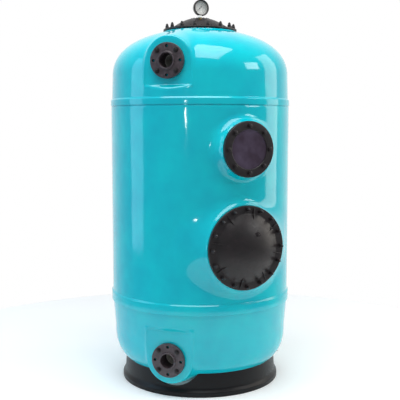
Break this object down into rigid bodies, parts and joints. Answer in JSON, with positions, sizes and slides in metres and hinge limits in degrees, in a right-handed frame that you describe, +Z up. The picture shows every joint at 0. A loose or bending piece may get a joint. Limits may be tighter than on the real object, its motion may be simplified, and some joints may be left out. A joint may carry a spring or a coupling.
{
  "type": "sand filter tank",
  "caption": "Tall deep-bed pool sand filter tank with side manway, round sight glass, bolted top lid with pressure gauge, and two flanged nozzles on a moulded stand.",
  "frame": {"origin": "on the tank's vertical axis, at floor level", "axes": "+Z up along the tank's axis, -Y out of the two nozzles, manway and sight glass 47 degrees from the nozzles towards +X"},
  "size_m": [1.1584, 1.1395, 2.3458],
  "materials": {
    "gelcoat": "glossy turquoise gelcoat on glass fibre",
    "black_plastic": "moulded, fine grain",
    "grey_pvc": "moulded dark grey",
    "pipe_pvc": "extruded white pipe",
    "seal_rubber": "moulded",
    "stainless": "brushed",
    "brass": "turned",
    "white_enamel": "white enamel",
    "clear_acrylic": "clear"
  },
  "bodies": {
    "tank": {"top_shell": "gelcoat", "middle_shell": "gelcoat", "bottom_shell": "gelcoat", "top_lid": "black_plastic", "manway_cover": "black_plastic", "manway_plug": "black_plastic", "sight_ring": "black_plastic", "base_stand": "black_plastic", "gauge_bezel": "black_plastic", "drain_spigot": "black_plastic", "upper_flange_bolt_1": "black_plastic", "upper_flange_bolt_2": "black_plastic", "upper_flange_bolt_3": "black_plastic", "upper_flange_bolt_4": "black_plastic", "lower_flange_bolt_1": "black_plastic", "lower_flange_bolt_2": "black_plastic", "lower_flange_bolt_3": "black_plastic", "lower_flange_bolt_4": "black_plastic", "sight_bolt_1": "black_plastic", "sight_bolt_2": "black_plastic", "sight_bolt_3": "black_plastic", "sight_bolt_4": "black_plastic", "sight_bolt_5": "black_plastic", "sight_bolt_6": "black_plastic", "sight_bolt_7": "black_plastic", "sight_bolt_8": "black_plastic", "upper_flange": "grey_pvc", "lower_flange": "grey_pvc", "inlet_pipe": "pipe_pvc", "inlet_bend": "pipe_pvc", "inlet_diffuser": "pipe_pvc", "outlet_pipe": "pipe_pvc", "collector_hub": "pipe_pvc", "lateral_1": "pipe_pvc", "lateral_2": "pipe_pvc", "lateral_3": "pipe_pvc", "lateral_4": "pipe_pvc", "lateral_5": "pipe_pvc", "lateral_6": "pipe_pvc", "lateral_7": "pipe_pvc", "top_lid_gasket": "seal_rubber", "manway_gasket": "seal_rubber", "sight_gasket": "seal_rubber", "top_lid_stud_ring": "stainless", "manway_stud_ring": "stainless", "gauge_case": "stainless", "gauge_stem": "brass", "air_bleed_body": "brass", "gauge_dial": "white_enamel", "sight_pane": "clear_acrylic", "gauge_glass": "clear_acrylic"},
    "pointer": {"gauge_pointer": "black_plastic"},
    "bleed_knob": {"air_bleed_knob": "white_enamel"},
    "drain_cap": {"drain_cap": "black_plastic"}
  },
  "joints": [
    {"name": "gauge_pointer_turn", "type": "hinge", "parent": "tank", "child": "pointer", "pos_m": [0.00495, -0.00495, 2.296], "axis": [-0.7071, 0.7071, 0], "range_deg": [0, 270]},
    {"name": "bleed_knob_turn", "type": "hinge", "parent": "tank", "child": "bleed_knob", "pos_m": [0.0342, -0.09397, 2.23], "axis": [0, 0, 1], "range_deg": [0, 360]},
    {"name": "drain_cap_turn", "type": "hinge", "parent": "tank", "child": "drain_cap", "pos_m": [0.43322, 0.20201, 0.14776], "axis": [0.6409, 0.2988, -0.7071], "range_deg": [0, 360]}
  ]
}
